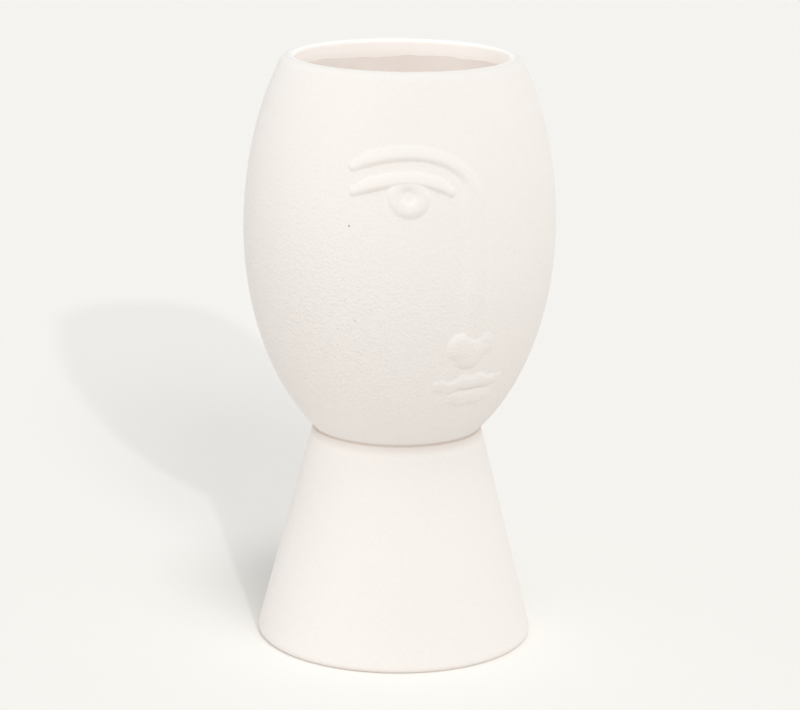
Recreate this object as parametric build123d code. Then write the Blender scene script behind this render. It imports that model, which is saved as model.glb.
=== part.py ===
from build123d import *

import math
import os

# A face vase: an egg-shaped ceramic head, open at the crown, luted into a hollow conical foot.
# The line face is laid on as clay sprigs: a coil for the brow and nose, an eyelid, an eye ring,
# a nose tip and two lips. Millimetres, +Z up, origin on the table under the vase's axis.
# The face looks along -Y, and its left side, as the viewer sees it, is towards -X.

# Head: two half ellipses of revolution that share the widest circle
TOTAL_HEIGHT = 260.0
WIDEST_HEIGHT = 185.0
HEAD_RADIUS = 68.0
RIM_RADIUS = 51.2
NECK_HEIGHT = 96.0
NECK_RADIUS = 37.0
HEAD_WALL = 5.2
LIP_FLAT = 0.6
GLAZE_GAP = 0.1
GLAZE_THICKNESS = 0.4
BARE_LIP_DEPTH = 8.0

# Foot: a slip-cast cone with a floor, its seat luted to the head's chin
FOOT_RADIUS = 61.5
FOOT_WALL = 5.0
FOOT_FLOOR = 6.0
FOOT_EDGE_ROUND = 3.0
FOOT_RECESS_RADIUS = 40.0
FOOT_RECESS_DEPTH = 2.0
VENT_RADIUS = 2.5
SLIP_THICKNESS = 0.6
SLIP_SETBACK = 0.9

# Sprigs: each lies on the head on a film of slip
SLIP_FILM = 0.1
COIL_WIDTH = 5.6
COIL_HEIGHT = 2.2
COIL_STATION_PITCH = 2.0
COIL_END_TURNS = (20, 45, 70)
DIRECTION_STEP = 0.1

# Brow, nose line and eye: heights from the rim down, widths along the skin from the nose's plane
BROW_BELOW_RIM = 31.0
BROW_OUTER_REACH = 25.0
BROW_OUTER_FALL = 6.0
BRIDGE_ACROSS = -3.4
BRIDGE_BELOW_BROW = 17.0
LID_BELOW_BROW = 9.7
LID_OUTER_REACH = 24.0
LID_INNER_REACH = 18.0
LID_FALL = 6.0
EYE_ACROSS = -31.5
EYE_BELOW_LID = 8.3
EYE_RING_RADIUS = 6.2
EYE_RING_WIDTH = 6.2
EYE_RING_HEIGHT = 2.2

# Mouth and nose: heights from the neck up
MOUTH_ABOVE_NECK = 28.2
MOUTH_ACROSS = 1.9
MOUTH_GAP = 0.8
LIP_HEIGHT = 2.2
UPPER_LIP_WIDTH = 5.0
UPPER_LIP_REACH = 16.5
UPPER_LIP_BOW_RISE = 1.2
UPPER_LIP_DIP_FALL = 1.6
UPPER_LIP_TAIL_FALL = 0.7
LOWER_LIP_WIDTH = 5.8
LOWER_LIP_REACH = 10.0
LOWER_LIP_LOBE_FALL = 1.0
LOWER_LIP_CORNER_FALL = 0.8
LIP_BOW_ACROSS = 4.6
LIP_DIP_ACROSS = 10.5
NOSE_ABOVE_MOUTH = 20.2
NOSTRIL_ACROSS = 7.2
NOSTRIL_RADIUS = 5.0
NOSTRIL_HEIGHT = 2.4
NOSE_TIP_RADIUS = 6.5
NOSE_TIP_DROP = 2.4
NOSE_TIP_HEIGHT = 3.2

# Levels that follow from the sizes above
BROW_LEVEL = TOTAL_HEIGHT - BROW_BELOW_RIM
LID_LEVEL = BROW_LEVEL - LID_BELOW_BROW
EYE_LEVEL = LID_LEVEL - EYE_BELOW_LID
MOUTH_LEVEL = NECK_HEIGHT + MOUTH_ABOVE_NECK
NOSE_LEVEL = MOUTH_LEVEL + NOSE_ABOVE_MOUTH


def semi_axis(rise, radius, widest_radius):
    """Height of a half ellipse that narrows from widest_radius to radius over rise."""
    return rise / math.sqrt(1 - (radius / widest_radius) ** 2)


CROWN_AXIS = semi_axis(TOTAL_HEIGHT - WIDEST_HEIGHT, RIM_RADIUS, HEAD_RADIUS)
CHIN_AXIS = semi_axis(WIDEST_HEIGHT - NECK_HEIGHT, NECK_RADIUS, HEAD_RADIUS)


def quarter_ellipse(start, corner, end):
    """An exact quarter ellipse from start to end, inside the corner of its box."""
    return Bezier(start, corner, end, weights=(1, math.sqrt(0.5), 1))


def egg_section(inset):
    """Half of the head's upright section as a whole egg, inset from the skin (negative is outwards)."""
    radius = HEAD_RADIUS - inset
    top = WIDEST_HEIGHT + CROWN_AXIS - inset
    bottom = WIDEST_HEIGHT - CHIN_AXIS + inset
    crown = quarter_ellipse((0, top), (radius, top), (radius, WIDEST_HEIGHT))
    chin = quarter_ellipse((0, bottom), (radius, bottom), (radius, WIDEST_HEIGHT))
    return make_face([crown, chin, Line((0, bottom), (0, top))])


def above(level):
    """The part of the section plane above a level."""
    return Pos(0, level) * Rectangle(2 * HEAD_RADIUS, TOTAL_HEIGHT, align=(Align.CENTER, Align.MIN))


def turned(section):
    """A section turned about the vase's axis."""
    return revolve(Plane.XZ * section, Axis.Z)


def head_vessel():
    """The egg, hollow, cut off at the crown with a rounded lip."""
    section = egg_section(0) - egg_section(HEAD_WALL) - above(TOTAL_HEIGHT)
    lip_corners = section.vertices().group_by(Axis.Y)[-1]
    return turned(fillet(lip_corners, (HEAD_WALL - LIP_FLAT) / 2))


def inner_glaze():
    """The glaze poured inside to hold water, up to the bare band under the lip."""
    outside = HEAD_WALL + GLAZE_GAP
    section = egg_section(outside) - egg_section(outside + GLAZE_THICKNESS)
    return turned(section - above(TOTAL_HEIGHT - BARE_LIP_DEPTH))


def cone_section(inset, floor_level):
    """Half of the foot's filled section from a floor up to the neck, inset from its outer slope."""
    run = (FOOT_RADIUS - NECK_RADIUS) / NECK_HEIGHT
    shift = inset * math.hypot(1, run)
    floor = (FOOT_RADIUS - run * floor_level - shift, floor_level)
    neck = (NECK_RADIUS - shift, NECK_HEIGHT)
    return make_face(Polyline((0, floor_level), floor, neck, (0, NECK_HEIGHT), close=True))


def foot_cone():
    """The hollow foot, open where the head's chin seats and vented through the floor."""
    align = (Align.MIN, Align.MIN)
    section = cone_section(0, 0)
    edge_corner = section.vertices().group_by(Axis.Y)[0].sort_by(Axis.X)[-1]
    section = fillet(edge_corner, FOOT_EDGE_ROUND)
    section -= egg_section(-SLIP_THICKNESS)
    section -= cone_section(FOOT_WALL, FOOT_RECESS_DEPTH + FOOT_FLOOR)
    section -= Rectangle(FOOT_RECESS_RADIUS, FOOT_RECESS_DEPTH, align=align)
    section -= Pos(0, FOOT_RECESS_DEPTH) * Rectangle(VENT_RADIUS, FOOT_FLOOR, align=align)
    return turned(section)


def neck_slip():
    """The ring of joining slip between the chin and the foot's seat, set back from the crease."""
    wall = cone_section(SLIP_SETBACK, 0) - cone_section(FOOT_WALL, 0)
    return turned(wall & (egg_section(-SLIP_THICKNESS) - egg_section(0)))


def skin_plane(across, level, lift):
    """A plane that faces straight out of the head's skin, lifted off it, with its x axis level.

    across is measured along the skin from the nose's plane, so a flat drawing wraps on at full size.
    """
    axis = CROWN_AXIS if level > WIDEST_HEIGHT else CHIN_AXIS
    rise = (level - WIDEST_HEIGHT) / axis
    radius = HEAD_RADIUS * math.sqrt(1 - rise**2)
    angle = across / radius
    steepness = rise / axis * HEAD_RADIUS**2 / radius
    out = Vector(math.sin(angle), -math.cos(angle), steepness).normalized()
    skin = Vector(radius * math.sin(angle), -radius * math.cos(angle), level)
    return Plane(origin=skin + out * lift, x_dir=(math.cos(angle), math.sin(angle), 0), z_dir=out)


def backing(across, level):
    """A log that lies along the skin there, with the skin's sideways bend and the film of slip on it."""
    seat = skin_plane(across, level, 0)
    bend_radius = math.hypot(seat.origin.X, seat.origin.Y) / math.hypot(seat.z_dir.X, seat.z_dir.Y)
    log = Cylinder(bend_radius + SLIP_FILM, TOTAL_HEIGHT, rotation=(90, 0, 0))
    return seat * Pos(0, 0, -bend_radius) * log


def coil_stations(length, width):
    """Where a coil's sections stand, as (share of its length, share of its full size), ends rounded."""
    end_share = width / 2 / length
    turns = [math.radians(turn) for turn in COIL_END_TURNS]
    tip = [(end_share * (1 - math.cos(turn)), math.sin(turn)) for turn in turns]
    tail = [(1 - share, scale) for share, scale in reversed(tip)]
    count = math.ceil((length - width) / COIL_STATION_PITCH)
    step = (1 - 2 * end_share) / count
    return tip + [(end_share + step * station, 1) for station in range(count + 1)] + tail


def coil(drawn_line, width, height):
    """A coil pressed on along a line drawn flat as (across, level): flat-backed and round-topped."""
    sections = []
    for share, scale in coil_stations(drawn_line.length, width):
        here = drawn_line @ share
        ahead = here + (drawn_line % share) * DIRECTION_STEP
        seat = skin_plane(here.X, here.Y, SLIP_FILM)
        along = skin_plane(ahead.X, ahead.Y, SLIP_FILM).origin - seat.origin
        plane = Plane(origin=seat.origin, x_dir=seat.z_dir.cross(along), z_dir=along)
        half = width / 2 * scale
        back = ThreePointArc((half, 0), (0, height * scale), (-half, 0))
        sections.append(plane * make_face([Line((-half, 0), (half, 0)), back]))
    return loft(sections, ruled=True)


def dome(across, level, radius, height):
    """A ball sunk into the head until a cap of that radius and height stands proud."""
    ball_radius = (radius**2 + height**2) / (2 * height)
    return skin_plane(across, level, height - ball_radius) * Sphere(ball_radius)


def nose_balls():
    """The ball of the nose between the balls of its two nostril wings, whole."""
    balls = dome(0, NOSE_LEVEL - NOSE_TIP_DROP, NOSE_TIP_RADIUS, NOSE_TIP_HEIGHT)
    balls += dome(-NOSTRIL_ACROSS, NOSE_LEVEL, NOSTRIL_RADIUS, NOSTRIL_HEIGHT)
    balls += dome(NOSTRIL_ACROSS, NOSE_LEVEL, NOSTRIL_RADIUS, NOSTRIL_HEIGHT)
    return balls


def brow_and_nose_line():
    """One coil over the eye and down the nose, hollowed at its foot where the nose tip covers it."""
    outer_end = (EYE_ACROSS - BROW_OUTER_REACH, BROW_LEVEL - BROW_OUTER_FALL)
    crest = (EYE_ACROSS, BROW_LEVEL)
    bridge = (BRIDGE_ACROSS, BROW_LEVEL - BRIDGE_BELOW_BROW)
    outer = Bezier(outer_end, (EYE_ACROSS - BROW_OUTER_REACH / 2, BROW_LEVEL), crest)
    shoulder = quarter_ellipse(crest, (BRIDGE_ACROSS, BROW_LEVEL), bridge)
    nose_line = Line(bridge, (0, NOSE_LEVEL))
    return coil(Wire([outer, shoulder, nose_line]), COIL_WIDTH, COIL_HEIGHT) - nose_balls()


def eyelid():
    """One arc over the eye."""
    outer_end = (EYE_ACROSS - LID_OUTER_REACH, LID_LEVEL - LID_FALL)
    inner_end = (EYE_ACROSS + LID_INNER_REACH, LID_LEVEL - LID_FALL)
    return coil(ThreePointArc(outer_end, (EYE_ACROSS, LID_LEVEL), inner_end), COIL_WIDTH, COIL_HEIGHT)


def eye_ring():
    """A ring about the pupil, cut away where it meets the eyelid."""
    tube_radius = EYE_RING_WIDTH / 2
    seat = skin_plane(EYE_ACROSS, EYE_LEVEL, EYE_RING_HEIGHT - tube_radius)
    ring = seat * Torus(EYE_RING_RADIUS, tube_radius)
    return ring - backing(EYE_ACROSS, EYE_LEVEL) - eyelid()


def nose_tip():
    """What stands proud of the head of the nose's three balls."""
    return nose_balls() - backing(0, NOSE_LEVEL)


def mirrored_line(half):
    """A smooth drawn line from its right half, as (across, level) from the mouth's middle outwards."""
    left = [(MOUTH_ACROSS - across, level) for across, level in reversed(half[1:])]
    right = [(MOUTH_ACROSS + across, level) for across, level in half]
    return Spline(*left, *right)


def upper_lip():
    """A double bow with a tail at each corner of the mouth."""
    middle = MOUTH_LEVEL + (MOUTH_GAP + UPPER_LIP_WIDTH) / 2
    bow = (LIP_BOW_ACROSS, middle + UPPER_LIP_BOW_RISE)
    dip = (LIP_DIP_ACROSS, middle - UPPER_LIP_DIP_FALL)
    tail = (UPPER_LIP_REACH, middle - UPPER_LIP_TAIL_FALL)
    return coil(mirrored_line([(0, middle), bow, dip, tail]), UPPER_LIP_WIDTH, LIP_HEIGHT)


def lower_lip():
    """Two full lobes under the mouth's slot."""
    middle = MOUTH_LEVEL - (MOUTH_GAP + LOWER_LIP_WIDTH) / 2
    lobe = (LIP_BOW_ACROSS, middle - LOWER_LIP_LOBE_FALL)
    corner = (LOWER_LIP_REACH, middle - LOWER_LIP_CORNER_FALL)
    return coil(mirrored_line([(0, middle), lobe, corner]), LOWER_LIP_WIDTH, LIP_HEIGHT)


PIECES = (
    head_vessel,
    inner_glaze,
    foot_cone,
    neck_slip,
    brow_and_nose_line,
    eyelid,
    eye_ring,
    nose_tip,
    upper_lip,
    lower_lip,
)

os.makedirs("parts", exist_ok=True)
for make_piece in PIECES:
    piece = make_piece()
    export_step(piece, f"parts/{make_piece.__name__}.step")
    print(make_piece.__name__, "solids", len(piece.solids()), "volume", round(piece.volume))
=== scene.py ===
# %% [markdown]
# # A face vase in matte, sandy white
#
# The vase is an egg-shaped head on a conical foot, with a line face in low relief under a sandy white coat.
# The CAD model is the fixed frame: it says where each piece is and how large it is. This script makes the
# looks. Each piece but the joining slip is a surface worked out with numpy and laid over its CAD node. Sizes
# are written in millimetres and become metres where they go into Blender.

import math

import bpy
import numpy as np
from mathutils import Matrix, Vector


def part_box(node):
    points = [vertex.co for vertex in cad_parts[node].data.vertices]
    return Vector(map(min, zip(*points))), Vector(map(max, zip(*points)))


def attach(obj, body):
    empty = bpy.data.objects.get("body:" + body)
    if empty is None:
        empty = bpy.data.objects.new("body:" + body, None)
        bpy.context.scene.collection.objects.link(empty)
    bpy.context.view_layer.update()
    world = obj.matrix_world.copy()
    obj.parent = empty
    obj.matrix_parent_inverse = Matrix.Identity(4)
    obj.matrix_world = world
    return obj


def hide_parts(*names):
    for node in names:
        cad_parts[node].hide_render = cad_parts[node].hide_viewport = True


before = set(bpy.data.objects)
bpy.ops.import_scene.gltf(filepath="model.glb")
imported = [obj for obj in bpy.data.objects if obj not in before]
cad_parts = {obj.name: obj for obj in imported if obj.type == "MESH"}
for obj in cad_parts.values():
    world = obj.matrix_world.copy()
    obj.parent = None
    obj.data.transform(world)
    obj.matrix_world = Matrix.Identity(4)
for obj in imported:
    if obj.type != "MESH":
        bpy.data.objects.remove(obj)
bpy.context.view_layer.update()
print("CAD nodes:", sorted(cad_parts))

# %% [markdown]
# ## Camera
#
# A product photo is taken from far away with a long lens, so that the vase isn't distorted. The camera
# stands to the left of the nose and a little above the vase. A Track To constraint could aim it. Here its
# three axes are worked out from a few angles and written into its matrix, because a small roll is then easy
# to add, and there is no doubt about the order of rotations.

# %% Camera
MM = 0.001
LENS = 135.0
SENSOR = 36.0
CAMERA_DISTANCE = 1321.8
TARGET_HEIGHT = 126.7
CAMERA_TURN, CAMERA_RISE, CAMERA_YAW, CAMERA_ROLL = np.radians([-31.0, 14.39, -0.044, 0.844])


def seen_from(turn, rise):
    """Unit vector from the vase to a place that is turned from the nose's plane and raised, in radians."""
    return np.array([np.sin(turn) * np.cos(rise), -np.cos(turn) * np.cos(rise), np.sin(rise)])


def make_camera():
    """Level right and up axes from the viewing direction, then both rolled about it by a small angle."""
    place = seen_from(CAMERA_TURN, CAMERA_RISE) * CAMERA_DISTANCE + [0, 0, TARGET_HEIGHT]
    back = seen_from(CAMERA_TURN + CAMERA_YAW, CAMERA_RISE)
    right = seen_from(CAMERA_TURN + CAMERA_YAW + np.pi / 2, 0)
    up = np.cross(back, right)
    axes = np.eye(4)
    axes[:3, 0] = right * np.cos(CAMERA_ROLL) + up * np.sin(CAMERA_ROLL)
    axes[:3, 1] = up * np.cos(CAMERA_ROLL) - right * np.sin(CAMERA_ROLL)
    axes[:3, 2] = back
    axes[:3, 3] = place * MM
    lens = bpy.data.cameras.new("camera")
    lens.lens = LENS
    lens.sensor_width = SENSOR
    camera = bpy.data.objects.new("camera", lens)
    bpy.context.scene.collection.objects.link(camera)
    camera.matrix_world = Matrix(axes.tolist())
    bpy.context.scene.camera = camera
    return place


print("camera at", np.round(make_camera()), "mm")

# %% [markdown]
# ## Colours and nodes
#
# Colours are written as the sRGB hex values that a colour picker shows, and shaders want linear light,
# so one function converts them. Another adds a shader node, sets its properties and links its inputs.
# The Mix node has sockets for numbers, vectors and colours under the same names, so its colour sockets
# are reached by their numbers.

# %% Colours and nodes
MIX_FACTOR, MIX_A, MIX_B, MIX_RESULT = 0, 6, 7, 2


def linear(hex_colour):
    """sRGB to linear: small values are divided by 12.92, the rest raised to the power 2.4."""
    srgb = np.array([int(hex_colour[start:start + 2], 16) for start in (1, 3, 5)]) / 255
    light = np.where(srgb <= 0.04045, srgb / 12.92, ((srgb + 0.055) / 1.055) ** 2.4)
    return (*light.tolist(), 1.0)


def add(tree, kind, inputs=None, **settings):
    """Adds a node. inputs maps a socket's name or number to a value, or to another node's output."""
    node = tree.nodes.new(kind)
    for name, value in settings.items():
        setattr(node, name, value)
    for key, value in (inputs or {}).items():
        if isinstance(value, bpy.types.NodeSocket):
            tree.links.new(value, node.inputs[key])
        else:
            node.inputs[key].default_value = value
    return node


def new_material(name):
    """An empty node material, and its node tree."""
    material = bpy.data.materials.new(name)
    material.use_nodes = True
    material.node_tree.nodes.clear()
    return material, material.node_tree


print("white is", linear("#ffffff"))

# %% [markdown]
# ## The faces of a grid
#
# All surfaces are made in one way: rows of points, each row a closed loop. The Screw modifier could turn a
# profile too, but a grid also makes shapes that aren't round, and numpy joins all its neighbours at once. At
# its ends the grid either closes to a single point, as at an egg's pole, or the last row joins the first, as
# in a ring.

# %% The faces of a grid
def grid_quads(index, closed_ring):
    """Each point, the next one in its loop, and both in the next loop. Only a ring's last loop has a next."""
    ahead = np.roll(index, -1, axis=0)
    quads = np.stack([index, np.roll(index, -1, 1), np.roll(ahead, -1, 1), ahead], axis=-1)
    return (quads if closed_ring else quads[:-1]).reshape(-1, 4)


def end_fans(index, start, finish):
    """Triangles from the edges of the first and the last loop to the point that closes that end."""
    first, last = index[0], index[-1]
    opening = np.stack([np.roll(first, -1), first, np.full_like(first, start)], axis=-1)
    closing = np.stack([last, np.roll(last, -1), np.full_like(last, finish)], axis=-1)
    return np.concatenate([opening, closing])


three_loops = np.arange(12).reshape(3, 4)
print("a ring of three loops of four points has", len(grid_quads(three_loops, True)), "quads")

# %% [markdown]
# ## From a grid to a closed mesh
#
# Faces have to point outwards. Blender can recalculate that in Edit mode, but one sum tells it here and
# measures the piece as well. The little tetrahedra between the origin and every triangle add up to the
# volume. If it comes out negative, the faces point inwards and are turned round. A unit cube tests it.

# %% From a grid to a closed mesh
def signed_volume(points, triangles):
    """A sixth of the sum of first . (second x third) over all triangles, negative if they point inwards."""
    first, second, third = points[triangles].transpose(1, 0, 2)
    return np.einsum("ij,ij->", first, np.cross(second, third)) / 6


def loops_to_mesh(loops, closed_ring):
    """Points, outward faces and volume. Unless it is a ring, the grid's two end loops shrink to points."""
    inner = loops if closed_ring else loops[1:-1]
    index = np.arange(inner[..., 0].size).reshape(inner.shape[:2])
    points = inner.reshape(-1, 3)
    quads = grid_quads(index, closed_ring)
    fans = np.empty((0, 3), dtype=int)
    if not closed_ring:
        points = np.vstack([points, loops[0].mean(axis=0), loops[-1].mean(axis=0)])
        fans = end_fans(index, len(points) - 2, len(points) - 1)
    volume = signed_volume(points, np.concatenate([quads[:, [0, 1, 2]], quads[:, [0, 2, 3]], fans]))
    if volume < 0:
        quads, fans = quads[:, ::-1], fans[:, ::-1]
    return points, quads.tolist() + fans.tolist(), abs(volume)


square = np.array([(0, 0), (1, 0), (1, 1), (0, 1)])
cube = np.array([np.insert(square, 2, level, axis=1) for level in (0, 0, 1, 1)])
print("volume of a unit cube:", loops_to_mesh(cube, False)[2])

# %% [markdown]
# ## From a mesh to a piece
#
# A piece stays at the origin, unturned and unscaled, with its place in its mesh, as the CAD nodes do. It
# rides on the vase's one body and stands for its CAD node, which is hidden. Its name starts with coated_
# where it has the sandy coat. Faces are shaded smooth, since clay has no facets, but edges that turn sharply
# stay crisp, such as the rim of the vent.

# %% From a mesh to a piece
CREASE_DEGREES = 45


def make_piece(node, loops, material, slot, closed_ring=False):
    """A smooth-shaded mesh piece in millimetres that stands for one CAD node and rides on its body."""
    points, faces, volume = loops_to_mesh(loops, closed_ring)
    mesh = bpy.data.meshes.new(node + "_mesh")
    mesh.from_pydata((points * MM).tolist(), [], faces)
    mesh.polygons.foreach_set("use_smooth", np.ones(len(faces), dtype=bool))
    mesh.set_sharp_from_angle(angle=math.radians(CREASE_DEGREES))
    mesh.materials.append(material)
    prefix = "coated_" if slot == "coated_ceramic" else "made_"
    piece = bpy.data.objects.new(prefix + node, mesh)
    bpy.context.scene.collection.objects.link(piece)
    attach(piece, "root")
    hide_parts(node)
    print(piece.name, len(faces), "faces,", round(volume), "cubic millimetres")
    return piece


print("edges stay crisp beyond", CREASE_DEGREES, "degrees")

# %% [markdown]
# ## The egg
#
# The head is two half ellipses of revolution that share the widest circle: a tall crown, cut off at the
# rim, and a chin that sits in the foot. A sphere could be scaled and cut to look like it, but one formula
# that gives the radius at any level also serves the inner wall, the glaze and the face. Overall sizes come
# from the frame, and the rest are the CAD model's own sizes.

# %% The egg
def frame_box(node):
    """A CAD node's lowest and highest corner in millimetres."""
    return np.array(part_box(node)) / MM


head_low, head_high = frame_box("head_vessel")
HEAD_RADIUS = head_high[0]
TOTAL_HEIGHT = head_high[2]
WIDEST_HEIGHT = 185.0
RIM_RADIUS = 51.2
HEAD_WALL = 5.2
CHIN_LEVEL = head_low[2]
CHIN_AXIS = WIDEST_HEIGHT - CHIN_LEVEL
CROWN_AXIS = (TOTAL_HEIGHT - WIDEST_HEIGHT) / math.sqrt(1 - (RIM_RADIUS / HEAD_RADIUS) ** 2)


def egg_radius(level, inset=0.0):
    """Radius at a level: the half width times the square root of 1 - (rise / half height)^2.

    The inset is the distance in from the skin, and is taken off both half axes.
    """
    axis = np.where(level > WIDEST_HEIGHT, CROWN_AXIS, CHIN_AXIS) - inset
    rise = (level - WIDEST_HEIGHT) / axis
    return (HEAD_RADIUS - inset) * np.sqrt(np.clip(1 - rise**2, 0, None))


print("head radius", round(HEAD_RADIUS, 2), "crown", round(CROWN_AXIS, 2), "chin", round(CHIN_AXIS, 2))

# %% [markdown]
# ## Turning a profile
#
# A potter's wheel turns a profile about the axis, and so does the grid: each point of the profile becomes a
# circle of points. Blender's Spin tool could do it, but leaves a seam that has to be merged. Levels lie close
# together near an egg's pole, where the surface is nearly flat. Corners are rounded with a parabola, which
# needs only the two ends and the corner between them.

# %% Turning a profile
AROUND = 288
ANGLES = np.linspace(0, 2 * np.pi, AROUND, endpoint=False)
CORNER_ROWS = 10


def egg_levels(bottom, top, rows):
    """A column of levels from a pole upwards: the rise grows as 1 - cosine does over a quarter turn."""
    share = 1 - np.cos(np.linspace(0, np.pi / 2, rows))
    return bottom + (top - bottom) * share[:, None]


def turned(radii, levels):
    """Turned about the axis: x is the radius times the cosine of each angle, y the radius times its sine."""
    circles = np.broadcast_arrays(radii * np.cos(ANGLES), radii * np.sin(ANGLES), levels)
    return np.stack(circles, axis=-1)


def rounded(start, corner, end, rows=CORNER_ROWS):
    """A rounded corner as a parabola: it leaves start and meets end in the directions of the corner."""
    done = np.linspace(0, 1, rows)[:, None]
    left = 1 - done
    return left**2 * np.array(start) + 2 * done * left * np.array(corner) + done**2 * np.array(end)


print("circles have", AROUND, "points")

# %% [markdown]
# ## The sandy coat: its white
#
# The vase is cast stoneware, dipped in a matte white slip with fine sand in it. A dipped coat isn't one even
# white: it is cloudy. The hollows between the grains get a painted shade, a little darker and warmer. An
# image could be painted for it, but noise on Object coordinates needs no unwrapping. Every coated piece
# shares it, so the pattern runs on over the joints, as a dipped coat does.

# %% The sandy coat: its white
CLOUD_SIZE = 45.0
COAT_WHITE = "#f3f0ed"
COAT_WARM = "#f1ede8"
# Painted shade: the hollows between the grains are drawn darker and warmer, in place of their shade.
COAT_HOLLOW_SHADE = "#ebe5df"
HOLLOW_SHADE_GRAINS = (0.52, 0.30)
HOLLOW_SHADE_SHARE = 0.25


def cloudy_white(tree, place, grains):
    """Broad noise mixes two whites, and low grains mix in a share of painted shade, darker and warmer, for
    the hollows.
    """
    clouds = add(tree, "ShaderNodeTexNoise", {
        "Vector": place, "Scale": 1 / (CLOUD_SIZE * MM), "Detail": 3.0})
    cloudy = add(tree, "ShaderNodeMix", {
        MIX_FACTOR: clouds.outputs["Fac"], MIX_A: linear(COAT_WHITE), MIX_B: linear(COAT_WARM)},
        data_type="RGBA")
    hollow_shade = add(tree, "ShaderNodeMapRange", {
        "Value": grains, "From Min": HOLLOW_SHADE_GRAINS[0], "From Max": HOLLOW_SHADE_GRAINS[1], "To Max": HOLLOW_SHADE_SHARE})
    hollow_shaded = add(tree, "ShaderNodeMix", {
        MIX_FACTOR: hollow_shade.outputs["Result"], MIX_A: cloudy.outputs[MIX_RESULT], MIX_B: linear(COAT_HOLLOW_SHADE)},
        data_type="RGBA")
    return hollow_shaded.outputs[MIX_RESULT]


print("the coat's clouds are about", CLOUD_SIZE, "mm across")

# %% [markdown]
# ## The sandy coat: painted light and shade
#
# The rim and the band just inside the lip are painted lighter, as painted light. The foot's top edge, just
# under the chin, is painted darker, as painted shade. Both places could have a material of their own, but
# then a hard line would divide them, so gradual steps by level, and by distance from the axis, mix their
# colours into the coat.

# %% The sandy coat: painted light and shade
# Painted light: the rim and the band inside the lip are drawn whiter than the coat.
LIP_PAINTED_LIGHT = "#fbfaf8"
LIP_LEVELS = (243.0, 253.0)
LIP_RADII = (50.0, 48.0)
# Painted shade on the foot's top edge, just under the chin, where the head hangs over it.
NECK_PAINTED_SHADE = "#e0d8d1"
NECK_LEVELS = (90.5, 96.2)


def lip_painted_light(tree, place, level, colour):
    """Mixes in a painted light by the lesser of two rises, one with the level and one inwards past the lip.
    """
    flat = add(tree, "ShaderNodeVectorMath", {0: place, 1: (1, 1, 0)}, operation="MULTIPLY")
    from_axis = add(tree, "ShaderNodeVectorMath", {0: flat.outputs[0]}, operation="LENGTH").outputs["Value"]
    high, inside = (add(tree, "ShaderNodeMapRange", {
        "Value": value, "From Min": limits[0] * MM, "From Max": limits[1] * MM}).outputs["Result"]
        for value, limits in ((level, LIP_LEVELS), (from_axis, LIP_RADII)))
    lip = add(tree, "ShaderNodeMath", {0: high, 1: inside}, operation="MINIMUM")
    whiter = add(tree, "ShaderNodeMix", {
        MIX_FACTOR: lip.outputs[0], MIX_A: colour, MIX_B: linear(LIP_PAINTED_LIGHT)}, data_type="RGBA")
    return whiter.outputs[MIX_RESULT]


def shade_under_chin(tree, level, colour):
    """Painted shade: a smooth rise with the level towards the foot's top edge, times 1 below that edge and 0
    above it.
    """
    lower, upper = (limit * MM for limit in NECK_LEVELS)
    rising = add(tree, "ShaderNodeMapRange", {
        "Value": level, "From Min": lower, "From Max": upper}, interpolation_type="SMOOTHSTEP")
    below = add(tree, "ShaderNodeMath", {0: level, 1: upper}, operation="LESS_THAN")
    neck_shade = add(tree, "ShaderNodeMath", {
        0: rising.outputs["Result"], 1: below.outputs[0]}, operation="MULTIPLY")
    neck_shaded = add(tree, "ShaderNodeMix", {
        MIX_FACTOR: neck_shade.outputs[0], MIX_A: colour, MIX_B: linear(NECK_PAINTED_SHADE)}, data_type="RGBA")
    return neck_shaded.outputs[MIX_RESULT]


# The coat is painted lighter from the first level up, and painted darker just under the second.
print("the coat is whitest from", LIP_LEVELS[1], "mm up, and thin just under", NECK_LEVELS[1], "mm")

# %% [markdown]
# ## The sandy coat: specks
#
# Small grains of iron in the clay burn through a white coat as brown specks. They could come from noise, but
# there are only a few, and each has its place, so each is a soft-edged spot round a point on the skin.

# %% The sandy coat: specks
# Each speck's turn from the nose's plane in degrees, its level and its radius.
SPECKS = ((-49.1, 198.0, 0.33), (-47.0, 157.3, 0.2), (-53.9, 152.9, 0.18), (-54.8, 145.6, 0.17))
SPECK_BROWN = "#6f6053"
SPECK_EDGE = (1.4, 0.6)


def brown_specks(tree, place, colour):
    """By distance from each speck's middle: 1 inside, 0 outside its soft edge. The largest counts."""
    speck = 0.0
    for turn, level, radius in SPECKS:
        spot = seen_from(math.radians(turn), 0) * egg_radius(level) + [0, 0, level]
        outer, inner = (share * radius * MM for share in SPECK_EDGE)
        away = add(tree, "ShaderNodeVectorMath", {0: place, 1: (spot * MM).tolist()}, operation="DISTANCE")
        close = add(tree, "ShaderNodeMapRange", {
            "Value": away.outputs["Value"], "From Min": outer, "From Max": inner})
        largest = add(tree, "ShaderNodeMath", {0: speck, 1: close.outputs["Result"]}, operation="MAXIMUM")
        speck = largest.outputs[0]
    specked = add(tree, "ShaderNodeMix", {
        MIX_FACTOR: speck, MIX_A: colour, MIX_B: linear(SPECK_BROWN)}, data_type="RGBA")
    return specked.outputs[MIX_RESULT]


print(len(SPECKS), "specks")

# %% [markdown]
# ## The sandy coat: sand
#
# The sand stands up a little in the slip. It is thickest low on the cheek at the left, and thin on the
# forehead, on the foot and towards the right. So many grains would be far too heavy as geometry, so noise
# gives them as bump, and its strength follows how thick the sand lies.

# %% The sandy coat: sand
# Such sand is about half a millimetre across. It is drawn as coarse as it needs to be to show.
SAND_GRAIN = 1.3
SAND_HEIGHT = 0.72
SAND_THIN = 0.2
SAND_LEVELS = ((94.0, 120.0), (236.0, 135.0))
SAND_SIDES = (-60.0, 15.0)
SAND_SMOOTH = 0.42


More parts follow.
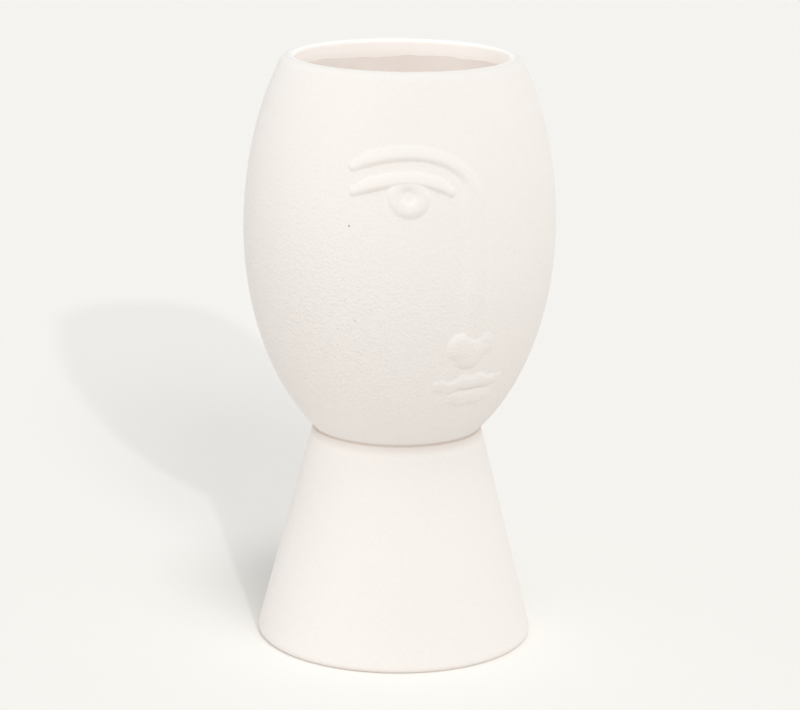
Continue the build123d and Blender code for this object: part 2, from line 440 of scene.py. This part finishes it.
def sand_thickness(tree, where):
    """The lesser of two smooth rises, up from the foot and down from the crown, times a fall to the right."""
    upwards, downwards = (add(tree, "ShaderNodeMapRange", {
        "Value": where["Z"], "From Min": bare * MM, "From Max": sandy * MM, "To Min": SAND_THIN},
        interpolation_type="SMOOTHSTEP").outputs["Result"] for bare, sandy in SAND_LEVELS)
    cheek = add(tree, "ShaderNodeMath", {0: upwards, 1: downwards}, operation="MINIMUM")
    left, right = (side * MM for side in SAND_SIDES)
    side = add(tree, "ShaderNodeMapRange", {
        "Value": where["X"], "From Min": left, "From Max": right, "To Min": 1.0, "To Max": SAND_SMOOTH})
    sand = add(tree, "ShaderNodeMath", {0: cheek.outputs[0], 1: side.outputs["Result"]}, operation="MULTIPLY")
    return sand.outputs[0]


print("sand grains are drawn", SAND_GRAIN, "mm across")

# %% [markdown]
# ## The sandy coat: put together
#
# A Diffuse shader would do for something chalky, but fired slip still has a faint gloss at a grazing angle.
# So the coat is a Principled shader with a high roughness and a low specular level. The colour passes
# through the steps above one after the other, and the sand comes in as its normal.

# %% The sandy coat: put together
def sandy_coat():
    """The coat's whites with painted shade in the hollows, painted light at the lip, painted shade at the
    neck, and the specks in turn as its colour, and its sand as bump.
    """
    # Matte slip with sand, dipped over cast stoneware: to the eye it is dry, grainy and without shine.
    material, tree = new_material("sandy_matte_slip_on_stoneware")
    place = add(tree, "ShaderNodeTexCoord").outputs["Object"]
    where = add(tree, "ShaderNodeSeparateXYZ", {"Vector": place}).outputs
    grains = add(tree, "ShaderNodeTexNoise", {
        "Vector": place, "Scale": 1 / (SAND_GRAIN * MM), "Detail": 2.5, "Roughness": 0.6}).outputs["Fac"]
    colour = cloudy_white(tree, place, grains)
    colour = lip_painted_light(tree, place, where["Z"], colour)
    colour = shade_under_chin(tree, where["Z"], colour)
    colour = brown_specks(tree, place, colour)
    relief = add(tree, "ShaderNodeBump", {
        "Height": grains, "Distance": SAND_HEIGHT * MM, "Strength": sand_thickness(tree, where)})
    shader = add(tree, "ShaderNodeBsdfPrincipled", {
        "Base Color": colour, "Normal": relief.outputs["Normal"], "Diffuse Roughness": 0.25,
        "Roughness": 0.92, "IOR": 1.5, "Specular IOR Level": 0.25})
    add(tree, "ShaderNodeOutputMaterial", {"Surface": shader.outputs["BSDF"]})
    return material


COAT = sandy_coat()
print("made", COAT.name)

# %% [markdown]
# ## The head
#
# The head is a thin cast shell. A Solidify modifier could give a single skin its wall, but the lip would then
# be square, so the profile itself runs up the skin, over a soft round lip and down the inner wall. Turned
# about the axis it is one closed shell, with a pole under the chin outside and another inside.

# %% The head
LIP_ROUND = 2.7
SKIN_ROWS = 150
WALL_ROWS = 90


def head_profile():
    """Skin, outer lip corner, inner lip corner and inner wall, as rows of (radius, level)."""
    lip = TOTAL_HEIGHT - LIP_ROUND
    skin_levels = egg_levels(CHIN_LEVEL, lip, SKIN_ROWS)
    wall_levels = egg_levels(CHIN_LEVEL + HEAD_WALL, lip, WALL_ROWS)[::-1]
    skin = np.hstack([egg_radius(skin_levels), skin_levels])
    wall = np.hstack([egg_radius(wall_levels, HEAD_WALL), wall_levels])
    inner_rim = egg_radius(TOTAL_HEIGHT, HEAD_WALL)
    outer = rounded(skin[-1], (RIM_RADIUS, TOTAL_HEIGHT), (RIM_RADIUS - LIP_ROUND, TOTAL_HEIGHT))
    inner = rounded((inner_rim + LIP_ROUND, TOTAL_HEIGHT), (inner_rim, TOTAL_HEIGHT), wall[0])
    return np.vstack([skin[:-1], outer, inner, wall[1:]])


profile = head_profile()
make_piece("head_vessel", turned(profile[:, :1], profile[:, 1:]), COAT, "coated_ceramic")

# %% [markdown]
# ## The foot
#
# The foot is a hollow cone with a floor. A cone primitive would have neither wall nor softened edges, so it
# is turned as the head is. Its profile is a closed loop that goes round the vent hole in the floor, so no
# pole is needed: under the base ring, up the slope, over the softened neck edge, down the seat of the chin
# and back along the inside.

# %% The foot
NECK_HEIGHT = 96.0
NECK_RADIUS = 37.0
FOOT_RADIUS = 61.5
FOOT_WALL = 5.0
FOOT_FLOOR = 6.0
EDGE_ROUND = 3.4
NECK_ROUND = 0.9
RECESS_RADIUS = 40.0
RECESS_DEPTH = 2.0
VENT_RADIUS = 2.5
SEAT_GAP = 0.6
SEAT_DEPTH = 3.1
SEAT_STEP = 1.0
SEAT_ROWS = 8
SLOPE_ROWS = 60
INSIDE_ROWS = 30
FOOT_RUN = (FOOT_RADIUS - NECK_RADIUS) / NECK_HEIGHT


def slope(level, inset=0.0):
    """Rows of (radius, level): the foot's radius less the slope's run, and less an inset square to it."""
    level = np.atleast_1d(level)
    return np.column_stack([FOOT_RADIUS - FOOT_RUN * level - inset * math.hypot(1, FOOT_RUN), level])


def foot_profile():
    """The closed loop of the foot's section, as rows of (radius, level)."""
    top = frame_box("foot_cone")[1][2]
    base = rounded((FOOT_RADIUS - EDGE_ROUND, 0), (FOOT_RADIUS, 0), slope(EDGE_ROUND)[0])
    seat_levels = np.linspace(top - NECK_ROUND, top - SEAT_DEPTH, SEAT_ROWS)
    seat = np.column_stack([egg_radius(seat_levels, -SEAT_GAP), seat_levels])
    neck = rounded(slope(top - NECK_ROUND)[0], slope(top)[0], seat[0])
    floor = RECESS_DEPTH + FOOT_FLOOR
    return np.vstack([
        [[VENT_RADIUS, floor], [VENT_RADIUS, RECESS_DEPTH]],
        [[RECESS_RADIUS, RECESS_DEPTH], [RECESS_RADIUS, 0]],
        base,
        slope(np.linspace(EDGE_ROUND, top - NECK_ROUND, SLOPE_ROWS)[1:-1]),
        neck,
        seat[1:],
        slope(np.linspace(top - SEAT_DEPTH - SEAT_STEP, floor, INSIDE_ROWS), FOOT_WALL),
    ])


profile = foot_profile()
foot_loops = turned(profile[:, :1], profile[:, 1:])
FOOT = make_piece("foot_cone", foot_loops, COAT, "coated_ceramic", closed_ring=True)

# %% [markdown]
# ## The inner glaze: finish
#
# Inside, the vase is lined with a beige satin glaze that holds the water. A flat colour would look like
# paint, so noise makes it a little darker where it pools, and a thin clear coat gives it a soft gloss.

# %% The inner glaze: finish
GLAZE_BEIGE = "#e1dbd6"
GLAZE_PALE = "#ece8e5"
GLAZE_POOL = 18.0


def satin_glaze():
    """Noise as large as the pools mixes two beiges under a soft clear coat."""
    # Poured and fired satin glaze: to the eye it is smooth, a little deeper than the coat, and dully glossy.
    material, tree = new_material("beige_satin_glaze")
    place = add(tree, "ShaderNodeTexCoord").outputs["Object"]
    pools = add(tree, "ShaderNodeTexNoise", {
        "Vector": place, "Scale": 1 / (GLAZE_POOL * MM), "Detail": 4.0})
    colour = add(tree, "ShaderNodeMix", {
        MIX_FACTOR: pools.outputs["Fac"], MIX_A: linear(GLAZE_BEIGE), MIX_B: linear(GLAZE_PALE)},
        data_type="RGBA")
    shader = add(tree, "ShaderNodeBsdfPrincipled", {
        "Base Color": colour.outputs[MIX_RESULT], "Roughness": 0.5, "IOR": 1.5,
        "Coat Weight": 0.2, "Coat Roughness": 0.3})
    add(tree, "ShaderNodeOutputMaterial", {"Surface": shader.outputs["BSDF"]})
    return material


GLAZE = satin_glaze()
print("made", GLAZE.name)

# %% [markdown]
# ## The inner glaze: lining
#
# The glaze could be a colour on the inner wall, but it is a thin layer of its own, so it is a piece. It stops
# about 8 mm under the lip, where the white coat comes over the edge. A poured glaze never stops at a true
# circle, so a few sine waves of different lengths make its edge wander by part of a millimetre. Towards the
# edge it gets thinner, so that no step shows.

# %% The inner glaze: lining
GLAZE_GAP = 0.1
GLAZE_THICKNESS = 0.4
GLAZE_FEATHER = 4.0
FEATHER_EDGE = 0.1
GLAZE_ROWS = 90
BARE_LIP_DEPTH = 8.0
# Each wave's number round the vase, its height and its start in radians.
GLAZE_WAVES = ((3, 0.5, 0.4), (7, 0.3, 1.9), (16, 0.2, 4.1), (31, 0.12, 2.6))


def glaze_loops():
    """Outer and inner face of the lining, from its pole up to a level edge plus the sum of the sine waves."""
    numbers, heights, starts = np.array(GLAZE_WAVES).T[:, :, None]
    edge = TOTAL_HEIGHT - BARE_LIP_DEPTH + (heights * np.sin(numbers * ANGLES + starts)).sum(axis=0)
    faces = []
    for thickness in (0.0, GLAZE_THICKNESS):
        pole = CHIN_LEVEL + HEAD_WALL + GLAZE_GAP + thickness
        levels = egg_levels(pole, edge, GLAZE_ROWS)
        feather = np.clip((edge - levels) / GLAZE_FEATHER, FEATHER_EDGE, 1)
        faces.append(turned(egg_radius(levels, HEAD_WALL + GLAZE_GAP + thickness * feather), levels))
    return np.concatenate([faces[0], faces[1][::-1]])


make_piece("inner_glaze", glaze_loops(), GLAZE, "inner_glaze")

# %% [markdown]
# ## The joining slip
#
# A ring of liquid clay joins the chin to the foot. Only its edge can be seen, deep in the crease at the neck.
# It could be made anew, but the CAD solid already has its true shape, so that stays and only gets a material.

# %% The joining slip
SLIP_BROWN = "#cac1b9"
SLIP_PALE = "#dcd5ce"
# Clay's own grain is finer. It is drawn as coarse as it needs to be to show.
SLIP_GRAIN = 0.8
SLIP_RELIEF = 0.2


def joining_slip():
    """Noise for the clay's grain mixes two shades of clay, and is its bump too."""
    # Bare fired clay, wiped with a brush: to the eye it is dull, grainy and a shade darker than the coat.
    material, tree = new_material("bare_joining_slip")
    place = add(tree, "ShaderNodeTexCoord").outputs["Object"]
    grain = add(tree, "ShaderNodeTexNoise", {
        "Vector": place, "Scale": 1 / (SLIP_GRAIN * MM), "Detail": 3.0}).outputs["Fac"]
    colour = add(tree, "ShaderNodeMix", {
        MIX_FACTOR: grain, MIX_A: linear(SLIP_BROWN), MIX_B: linear(SLIP_PALE)}, data_type="RGBA")
    relief = add(tree, "ShaderNodeBump", {"Height": grain, "Distance": SLIP_RELIEF * MM})
    shader = add(tree, "ShaderNodeBsdfPrincipled", {
        "Base Color": colour.outputs[MIX_RESULT], "Normal": relief.outputs["Normal"],
        "Roughness": 0.95, "Specular IOR Level": 0.2})
    add(tree, "ShaderNodeOutputMaterial", {"Surface": shader.outputs["BSDF"]})
    return material


slip_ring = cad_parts["neck_slip"]
slip_ring.data.materials.clear()
slip_ring.data.materials.append(joining_slip())
print("neck_slip keeps its CAD mesh")

# %% [markdown]
# ## Drawing on the skin
#
# The face is drawn flat, as distances across from the nose's plane and levels, and then wrapped on to the
# egg at full size, as a sheet of clay would be. A Shrinkwrap modifier could do it, but the egg's own formula
# is exact. A point can be lifted off the skin along its normal, which gives each line of the face its height.

# %% Drawing on the skin
SUNK_EDGE = 0.05
SUNK_BACK = 0.6


def on_skin(across, level, lift):
    """Wraps drawn points on to the egg: the angle is across over radius, the lift goes along the normal."""
    radius = egg_radius(level)
    axis = np.where(level > WIDEST_HEIGHT, CROWN_AXIS, CHIN_AXIS)
    lean = (level - WIDEST_HEIGHT) / axis**2 * HEAD_RADIUS**2 / radius
    angle = across / radius
    out = np.stack([np.sin(angle), -np.cos(angle), lean], axis=-1) / np.sqrt(1 + lean**2)[..., None]
    skin = np.stack([radius * np.sin(angle), -radius * np.cos(angle), level], axis=-1)
    return skin + out * lift[..., None]


def front_and_back(across, level, height):
    """A sprig's front at its own height, less a hair to sink its edge, and its back under the skin."""
    front = on_skin(across, level, height - SUNK_EDGE)
    back = on_skin(across, level, np.full_like(height, -SUNK_BACK))
    return front, back


def sprig_loops(across, level, height):
    """Each row runs over the front and returns along the back, as one closed loop."""
    front, back = front_and_back(across, level, height)
    return np.concatenate([front, back[:, ::-1]], axis=1)


middle_of_face = on_skin(*np.array([[0.0], [WIDEST_HEIGHT], [0.0]]))
print("the nose's plane meets the widest level at", np.round(middle_of_face[0], 1))

# %% [markdown]
# ## Beads
#
# Each line of the face is a bead of clay under a thick coat. A half round would meet the skin in a hard
# corner, and a coat fills such corners. So the bead's height and the skin are joined by a soft maximum,
# which rounds the corner by about a quarter of a millimetre and lets the bead run out.

# %% Beads
RUN_OUT = 1.35
COAT_FILLET = 0.25
ACROSS_COUNT = 33
ACROSS_STEPS = np.linspace(-RUN_OUT, RUN_OUT, ACROSS_COUNT)


def swell(offset, height, fullness):
    """Height of a bead at an offset of 0 on its crest to 1 at its edge, running out to the skin.

    The bead is height * (1 - offset^fullness): a parabola for 2, flatter on top and steeper at the edge for
    more. The soft maximum of bead and skin is half of (bead + the root of (bead squared + fillet squared)).
    """
    bead = height * (1 - np.abs(offset) ** fullness)
    return (bead + np.sqrt(bead**2 + COAT_FILLET**2)) / 2


print("at its edge a bead still stands", swell(1.0, 1.0, 2.0), "mm high")

# %% [markdown]
# ## Even steps and easing
#
# A coil of clay changes along its way: it broadens, rises and dies away. A curve's taper object could scale
# it, but would scale all of its section alike. Here the path is cut into even steps, and each size goes from
# stop to stop along half waves, so that nothing shows where one stretch ends and the next begins.

# %% Even steps and easing
RIDGE_STEP = 0.6


def evenly(path):
    """Resamples a drawn path at even steps of its length, and gives its unit directions there."""
    length = np.concatenate([[0], np.cumsum(np.hypot(*np.diff(path, axis=0).T))])
    steps = np.linspace(0, length[-1], int(length[-1] / RIDGE_STEP))
    points = np.column_stack([np.interp(steps, length, path[:, 0]), np.interp(steps, length, path[:, 1])])
    along = np.gradient(points, axis=0)
    return points, along / np.hypot(along[:, 0], along[:, 1])[:, None]


def eased(place, stops, values):
    """Goes from value to value between stops along half waves of a cosine, level at each stop."""
    count = np.arange(len(stops))
    step = np.interp(place, stops, count)
    whole = np.floor(step)
    return np.interp(whole + (1 - np.cos(np.pi * (step - whole))) / 2, count, values)


print("a quarter of the way from 0 to 1, easing is at", round(eased(0.25, (0, 1), (0, 1)), 3))

# %% [markdown]
# ## Ridges
#
# Brow, nose line and eyelid are coils of clay, pressed on and smoothed upwards with a finger, so that the
# upper side slopes gently and the lower side ends in a sharp crease. A bevelled curve is the same on both
# sides. Here a bead is carried along a path, with a reach of its own on each side.

# %% Ridges
CAP_ROWS = 12
CAP_TURNS = np.linspace(0, np.pi / 2, CAP_ROWS)[:-1]


def ridge(path, stops, *sizes):
    """A bead along a drawn path. Its left and right reach, height and fullness change between the stops.

    Stops are shares of the length, and offsets are reckoned in reaches. Past each end the offsets close as a
    half circle does, so the ends are round.
    """
    points, along = evenly(path)
    share = np.linspace(0, 1, len(points))
    cap = RUN_OUT * np.cos(CAP_TURNS)
    past = np.concatenate([-cap, np.zeros(len(points)), cap[::-1]])[:, None]
    pick = np.clip(np.arange(len(past)) - len(cap), 0, len(points) - 1)
    left, right, height, fullness = (eased(share, stops, values)[pick, None] for values in sizes)
    points, along = points[pick], along[pick]
    wide = np.sqrt(np.clip(1 - (past / RUN_OUT) ** 2, 0, None)) * ACROSS_STEPS
    side = wide * np.where(wide > 0, left, right)
    middle = points + along * past * (left + right) / 2
    across = middle[:, :1] - along[:, 1:] * side
    level = middle[:, 1:] + along[:, :1] * side
    return sprig_loops(across, level, swell(np.hypot(past, wide), height, fullness))


print("ridges have", ACROSS_COUNT, "points across and a row about every", RIDGE_STEP, "mm")

# %% [markdown]
# ## Brow and nose line
#
# One coil makes the brow and goes on down as the line of the nose. The brow stands up most, with its crest
# close to the lower crease, and the line broadens and dies away down the nose. The path is put together from
# a parabola, a quarter ellipse and another parabola, which meet in the same direction, so that no kink shows.

# %% Brow and nose line
# Points are (across, level).
BROW_END = (-54.6, 222.2)
BROW_CREST = (-30.0, 227.4)
BRIDGE = (-4.4, 210.0)
NOSE_LINE_BEND = (-2.0, 190.0)
NOSE_LINE_END = (-3.6, 151.0)
BROW_STOPS = (0.0, 0.08, 0.38, 0.54, 0.8, 1.0)
BROW_UPPER = (2.5, 4.3, 4.3, 5.0, 5.0, 7.0)
BROW_LOWER = (1.8, 2.1, 2.1, 5.2, 5.0, 3.4)
BROW_HEIGHT = (1.0, 1.7, 1.7, 1.2, 1.4, 0.7)
BROW_FULLNESS = (2.0, 2.0, 2.0, 2.0, 2.8, 2.4)
OUTER_ROWS, SHOULDER_ROWS, NOSE_LINE_ROWS = 40, 80, 60


def brow_path():
    """A parabola up to the brow's crest, a quarter ellipse over to the bridge, a parabola down the nose."""
    bend = ((BROW_END[0] + BROW_CREST[0]) / 2, BROW_CREST[1])
    outer = rounded(BROW_END, bend, BROW_CREST, OUTER_ROWS)
    turn = np.linspace(0, np.pi / 2, SHOULDER_ROWS)[1:]
    shoulder = np.column_stack([BROW_CREST[0] + (BRIDGE[0] - BROW_CREST[0]) * np.sin(turn),
                                BRIDGE[1] + (BROW_CREST[1] - BRIDGE[1]) * np.cos(turn)])
    nose = rounded(BRIDGE, NOSE_LINE_BEND, NOSE_LINE_END, NOSE_LINE_ROWS)[1:]
    return np.vstack([outer, shoulder, nose])


brow_loops = ridge(brow_path(), BROW_STOPS, BROW_UPPER, BROW_LOWER, BROW_HEIGHT, BROW_FULLNESS)
make_piece("brow_and_nose_line", brow_loops, COAT, "coated_ceramic")

# %% [markdown]
# ## Eyelid
#
# The lid is a second, shorter coil under the brow, with the same gentle upper side and sharp lower crease.
# A drawn curve could give its path, but a cubic through four points of its crest is enough and has no kinks.

# %% Eyelid
LID_LINE = ((-55.9, 212.0), (-38.3, 216.5), (-23.8, 216.1), (-13.4, 211.6))
LID_ENDS = (-55.1, -14.6)
LID_STOPS = (0.0, 0.2, 0.85, 1.0)
LID_UPPER = (2.5, 4.3, 4.3, 2.8)
LID_LOWER = (1.8, 2.1, 2.1, 1.9)
LID_HEIGHT = (1.0, 1.7, 1.7, 1.2)
LID_FULLNESS = (2.0, 2.0, 2.0, 2.0)
LID_ROWS = 80


def lid_path():
    """A cubic through four points of the lid's crest."""
    crest = np.array(LID_LINE)
    across = np.linspace(*LID_ENDS, LID_ROWS)
    return np.column_stack([across, np.polyval(np.polyfit(crest[:, 0], crest[:, 1], 3), across)])


lid_loops = ridge(lid_path(), LID_STOPS, LID_UPPER, LID_LOWER, LID_HEIGHT, LID_FULLNESS)
make_piece("eyelid", lid_loops, COAT, "coated_ceramic")

# %% [markdown]
# ## The eye
#
# The eye is a ring of clay whose top runs under the lid, and the hollow in it is the pupil. A torus would be
# round all over, so a bead is carried round a circle instead, with a steeper side towards the pupil. Both
# ways of the grid close on themselves.

# %% The eye
EYE_MIDDLE = (-32.2, 210.9)
EYE_RADIUS = 5.9
EYE_OUTER, EYE_INNER = 3.3, 3.6
EYE_HEIGHT = 1.5
RING_FULLNESS, PUPIL_FULLNESS = 2.0, 2.5
EYE_ROWS = 96


def eye_loops():
    """Circles about the eye's middle: the radius grows across the ring, and the height swells and falls."""
    turn = np.linspace(0, 2 * np.pi, EYE_ROWS, endpoint=False)[:, None]
    outside = ACROSS_STEPS > 0
    radius = EYE_RADIUS + ACROSS_STEPS * np.where(outside, EYE_OUTER, EYE_INNER)
    across = EYE_MIDDLE[0] + radius * np.cos(turn)
    level = EYE_MIDDLE[1] + radius * np.sin(turn)
    lift = swell(ACROSS_STEPS, EYE_HEIGHT, np.where(outside, RING_FULLNESS, PUPIL_FULLNESS))
    return sprig_loops(across, level, np.broadcast_to(lift, across.shape))


make_piece("eye_ring", eye_loops(), COAT, "coated_ceramic", closed_ring=True)

# %% [markdown]
# ## The nose tip
#
# Three low pads of clay, two nostril wings and the tip between them, run into each other. Metaballs could
# melt them together, but a power sum of their heights does it in one line: it is close to the largest of the
# three, without a hard crease where they meet. The grid is a set of ellipses about the nose's middle.

# %% The nose tip
NOSE_MIDDLE = (-0.5, 142.6)
NOSE_SPREAD = (16.5, 11.5)
# Each lobe's middle across, its level, radius and height: left wing, right wing, tip.
NOSE_LOBES = ((-6.6, 145.2, 6.6, 1.5), (4.9, 145.3, 5.2, 0.65), (-2.2, 142.0, 7.7, 1.35))
NOSE_FULLNESS = 3.2
LOBE_BLEND = 4
NOSE_AROUND, NOSE_ROWS = 120, 48


def nose_loops():
    """Each lobe swells about its middle. The height is the fourth root of the sum of their fourth powers."""
    turn = np.linspace(0, 2 * np.pi, NOSE_AROUND, endpoint=False)
    share = np.linspace(0, 1, NOSE_ROWS)[:, None]
    across = NOSE_MIDDLE[0] + NOSE_SPREAD[0] * share * np.cos(turn)
    level = NOSE_MIDDLE[1] + NOSE_SPREAD[1] * share * np.sin(turn)
    lobes = [swell(np.hypot(across - lobe_across, level - lobe_level) / radius, height, NOSE_FULLNESS)
             for lobe_across, lobe_level, radius, height in NOSE_LOBES]
    joined = (np.array(lobes) ** LOBE_BLEND).sum(axis=0) ** (1 / LOBE_BLEND)
    front, back = front_and_back(across, level, joined)
    return np.concatenate([front, back[::-1]])


make_piece("nose_tip", nose_loops(), COAT, "coated_ceramic")

# %% [markdown]
# ## The lips
#
# The lips are wavy: the upper one has two bows and a tail at each corner, the lower one has two lobes. A bead
# carried along so sharp a wave would fold, so each lip is cut into upright slices instead. Half waves of a
# cosine give the crest's level from slice to slice, how far the slice reaches up and down from it, and its
# height, which dies away towards the corners.

# %% The lips
# Each slice's place across, its crest's level, its reach up and down, and its height.
UPPER_LIP = (
    (-13.2, 128.0, 1.6, 4.2, 0.55),
    (-8.1, 127.0, 1.7, 4.4, 0.6),
    (-2.4, 128.0, 4.0, 3.9, 1.2),
    (1.4, 127.5, 3.6, 3.5, 1.1),
    (5.7, 128.0, 4.2, 3.8, 1.2),
    (10.7, 127.4, 2.6, 3.4, 0.8),
    (17.0, 127.8, 2.0, 2.8, 0.4),
)
LOWER_LIP = (
    (-4.8, 120.6, 2.6, 3.2, 0.45),
    (-1.0, 119.6, 3.9, 4.0, 0.7),
    (2.4, 119.7, 3.7, 3.6, 0.55),
    (8.0, 119.5, 3.9, 3.8, 0.7),
    (12.6, 120.2, 2.4, 2.8, 0.4),
)
LIP_FULLNESS = 2.4
LIP_END = 2.4
LIP_SLICES = 130


def lip_loops(line):
    """Upright slices: crest, reaches and height go along half waves, and close as circles do at the ends."""
    stops, *facts = np.array(line).T
    middle = (stops[0] + stops[-1]) / 2
    half = (stops[-1] - stops[0]) / 2 + LIP_END
    across = half * np.sin(np.linspace(-np.pi / 2, np.pi / 2, LIP_SLICES))[:, None]
    past = np.clip(np.abs(across) - (half - LIP_END), 0, LIP_END) / LIP_END
    closing = np.sqrt(1 - past**2)
    crest, up, down, height = (eased(middle + across, stops, values) for values in facts)
    levels = crest + ACROSS_STEPS * np.where(ACROSS_STEPS > 0, up, down) * closing
    lift = swell(ACROSS_STEPS, height * closing, LIP_FULLNESS)
    return sprig_loops(np.broadcast_to(middle + across, levels.shape), levels, lift)


make_piece("upper_lip", lip_loops(UPPER_LIP), COAT, "coated_ceramic")
make_piece("lower_lip", lip_loops(LOWER_LIP), COAT, "coated_ceramic")

# %% [markdown]
# ## Floor
#
# The vase stands on a sheet of plain pale paper that fills the picture. More light would whiten the paper,
# but it would wash out the vase. So the paper is pale where the camera sees it and greyer for the light that
# it sends back up, and the vase keeps its shaded underside. The Light Path node tells the two kinds of ray
# apart.

# %% Floor
FLOOR_SIZE = 12000.0
FLOOR_SEEN = "#fffefa"
FLOOR_BOUNCE = "#d6d1cb"


def seen_directly(tree):
    """1 where a ray comes straight from the camera, or by way of a mirror or glass, and otherwise 0."""
    ray = add(tree, "ShaderNodeLightPath").outputs
    seen = add(tree, "ShaderNodeMath", {0: ray["Is Camera Ray"], 1: ray["Is Glossy Ray"]}, operation="ADD")
    return add(tree, "ShaderNodeMath", {0: seen.outputs[0], 1: ray["Is Transmission Ray"]},
               operation="ADD", use_clamp=True).outputs[0]


def make_floor():
    """One large square at the table's level, of paper that is paler to the camera than to the vase."""
    # Uncoated paper: to the eye it is even and matte, and shows shadows softly.
    material, tree = new_material("pale_studio_paper")
    colour = add(tree, "ShaderNodeMix", {
        MIX_FACTOR: seen_directly(tree), MIX_A: linear(FLOOR_BOUNCE), MIX_B: linear(FLOOR_SEEN)},
        data_type="RGBA")
    paper = add(tree, "ShaderNodeBsdfDiffuse", {"Color": colour.outputs[MIX_RESULT]})
    add(tree, "ShaderNodeOutputMaterial", {"Surface": paper.outputs[0]})
    half = FLOOR_SIZE * MM / 2
    corners = [(-half, -half, 0), (half, -half, 0), (half, half, 0), (-half, half, 0)]
    mesh = bpy.data.meshes.new("floor_mesh")
    mesh.from_pydata(corners, [], [(0, 1, 2, 3)])
    mesh.materials.append(material)
    floor = bpy.data.objects.new("floor", mesh)
    bpy.context.scene.collection.objects.link(floor)


make_floor()
print("floor", FLOOR_SIZE * MM, "m wide")

# %% [markdown]
# ## Backdrop
#
# A studio's white walls light the vase softly from all sides. Walls could be built, but a world of one even
# white gives much the same light for less work. It is dimmer than the backdrop should look, so the camera
# sees a plain pale colour in its place, by the same switch as on the floor.

# %% Backdrop
BACKGROUND = "#f4f3ef"
DOME_LIGHT = 0.545


def make_world():
    """A white dome that lights the vase alike from all sides. The camera sees a plain pale backdrop there."""
    world = bpy.data.worlds.new("studio")
    bpy.context.scene.world = world
    world.use_nodes = True
    tree = world.node_tree
    tree.nodes.clear()
    light = add(tree, "ShaderNodeBackground", {"Color": (1, 1, 1, 1), "Strength": DOME_LIGHT})
    plain = add(tree, "ShaderNodeBackground", {"Color": linear(BACKGROUND), "Strength": 1.0})
    both = add(tree, "ShaderNodeMixShader", {
        0: seen_directly(tree), 1: light.outputs[0], 2: plain.outputs[0]})
    add(tree, "ShaderNodeOutputWorld", {"Surface": both.outputs[0]})


make_world()
print("a dome of strength", DOME_LIGHT)

# %% [markdown]
# ## Lamps
#
# Sun lamps light the floor alike everywhere, so the background stays even, which area lamps wouldn't do. A
# low key lamp throws a pale shadow back and to the left. A broad one above it and another from the top
# soften that shadow and model the relief. Four fills lift the sides and the underside without a shadow, as
# large white boards around the vase would. One lamp from the front is stopped by the foot alone, by light
# linking: it deepens the shade at the foot, and with the head it would throw a second band on the floor.
#
# Light that falls into the vase bounces between its pale walls many times before it comes out, so the
# number of diffuse bounces is raised from 4. With fewer, the inside would turn too dark.

# %% Lamps
INNER_BOUNCES = 12
# Each lamp's turn from the nose's plane, rise and spread in degrees, its strength, and what stops its light.
LAMPS = {
    "key": (-15.0, 23.5, 1.5, 0.50, "all"),
    "soft_key": (-15.0, 34.0, 15.0, 0.42, "all"),
    "soft_top": (-10.0, 72.0, 20.0, 0.37, "all"),
    "front_top": (4.0, 45.0, 20.0, 0.34, "foot"),
    "left_fill": (-115.0, 0.0, 40.0, 0.85, "none"),
    "front_fill": (-60.0, 0.0, 30.0, 0.17, "none"),
    "chin_fill": (10.0, -40.0, 30.0, 0.17, "none"),
    "right_fill": (100.0, 0.0, 40.0, 0.52, "none"),
}


def make_lamp(name, turn, rise, spread, strength, stopped_by):
    """A sun lamp. Its spread is the angle across its disc, which softens shadows."""
    lamp = bpy.data.lights.new(name, "SUN")
    lamp.energy = strength
    lamp.use_shadow = stopped_by != "none"
    lamp.angle = math.radians(spread)
    sun = bpy.data.objects.new(name, lamp)
    bpy.context.scene.collection.objects.link(sun)
    sun.rotation_euler = (math.radians(90 - rise), 0, math.radians(turn))
    if stopped_by == "foot":
        blockers = bpy.data.collections.new("stops_the_" + name + "_lamp")
        blockers.objects.link(FOOT)
        sun.light_linking.blocker_collection = blockers


for lamp_name, lamp_facts in LAMPS.items():
    make_lamp(lamp_name, *lamp_facts)
bpy.context.scene.cycles.diffuse_bounces = INNER_BOUNCES
bpy.context.scene.view_settings.view_transform = "Standard"
print(len(LAMPS), "lamps made")
